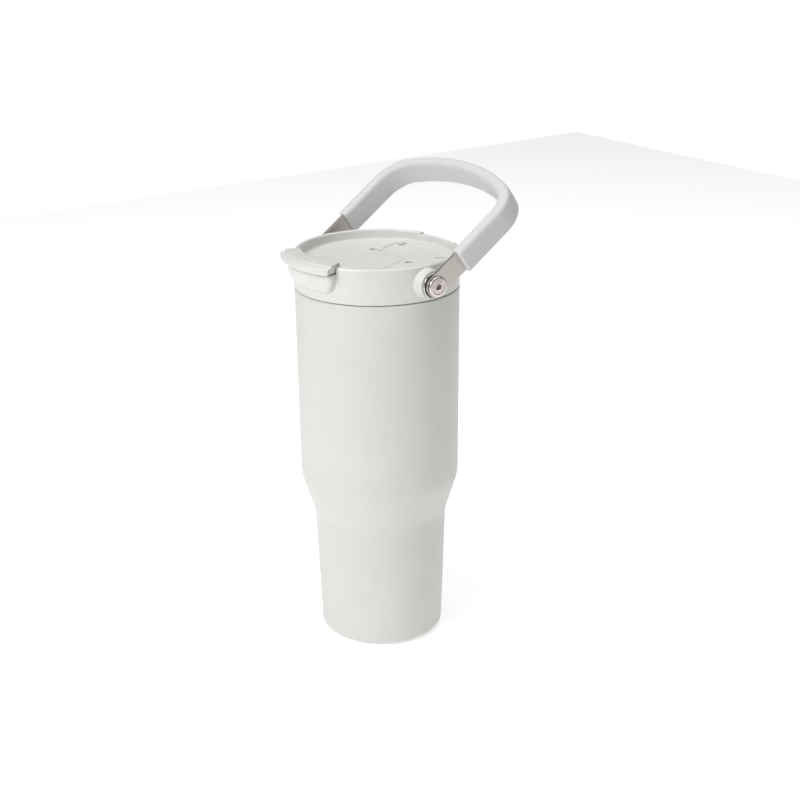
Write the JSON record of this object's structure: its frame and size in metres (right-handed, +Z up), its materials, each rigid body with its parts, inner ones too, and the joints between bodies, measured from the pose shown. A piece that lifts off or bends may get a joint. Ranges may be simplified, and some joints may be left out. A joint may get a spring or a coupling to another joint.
{
  "type": "insulated tumbler with lid",
  "caption": "Tall steel vacuum tumbler with a narrow cup-holder foot, a screw lid with a flip drinking cover, and a swing carry handle.",
  "frame": {"origin": "body axis on the plane that the base pad stands on", "axes": "+Z up along the body axis, -Y towards the drinking side and the flip cover's tab, X along the axis of the handle's pivots"},
  "size_m": [0.115, 0.1196, 0.2639],
  "materials": {
    "powder_coat": "satin",
    "steel": "brushed",
    "lid_plastic": "satin",
    "liner_plastic": "satin",
    "silicone": "matt",
    "pad": "matt",
    "getter_metal": "sintered",
    "grip": "matt",
    "screw_steel": "turned",
    "polished_steel": "polished",
    "black_nylon": "matt",
    "brass": "machined"
  },
  "bodies": {
    "vessel": {"outer_shell": "powder_coat", "inner_vessel": "steel", "shell_bottom": "steel", "base_pad": "pad", "getter": "getter_metal"},
    "gasket": {"lid_gasket": "silicone"},
    "lid": {"lid_body": "lid_plastic", "lid_liner": "liner_plastic", "hinge_pin": "steel", "pivot_screw_left": "screw_steel", "pivot_screw_right": "screw_steel", "cup_washer_left": "polished_steel", "cup_washer_right": "polished_steel", "friction_washer_left": "black_nylon", "friction_washer_right": "black_nylon", "threaded_insert_left": "brass", "threaded_insert_right": "brass"},
    "handle": {"handle_band": "steel", "handle_grip": "grip"},
    "cover": {"flip_cover": "lid_plastic", "cover_plug": "silicone"}
  },
  "joints": [
    {"name": "lid_rise", "type": "slide", "parent": "vessel", "child": "gasket", "axis": [0, 0, 1], "range_m": [0, 0.00505]},
    {"name": "lid_turn", "type": "hinge", "parent": "gasket", "child": "lid", "pos_m": [0, 0, 0.2], "axis": [0, 0, 1], "range_deg": [0, 450]},
    {"name": "handle_swing", "type": "hinge", "parent": "lid", "child": "handle", "pos_m": [0, 0.001, 0.2146], "axis": [-1, 0, 0], "range_deg": [-183, 73]},
    {"name": "cover_flip", "type": "hinge", "parent": "lid", "child": "cover", "pos_m": [0, 0.0098, 0.21695], "axis": [-1, 0, 0], "range_deg": [0, 100]}
  ],
  "couplings": [
    {"joint": "lid_rise", "follows": "lid_turn", "m_per_rad": 0.00063662}
  ]
}
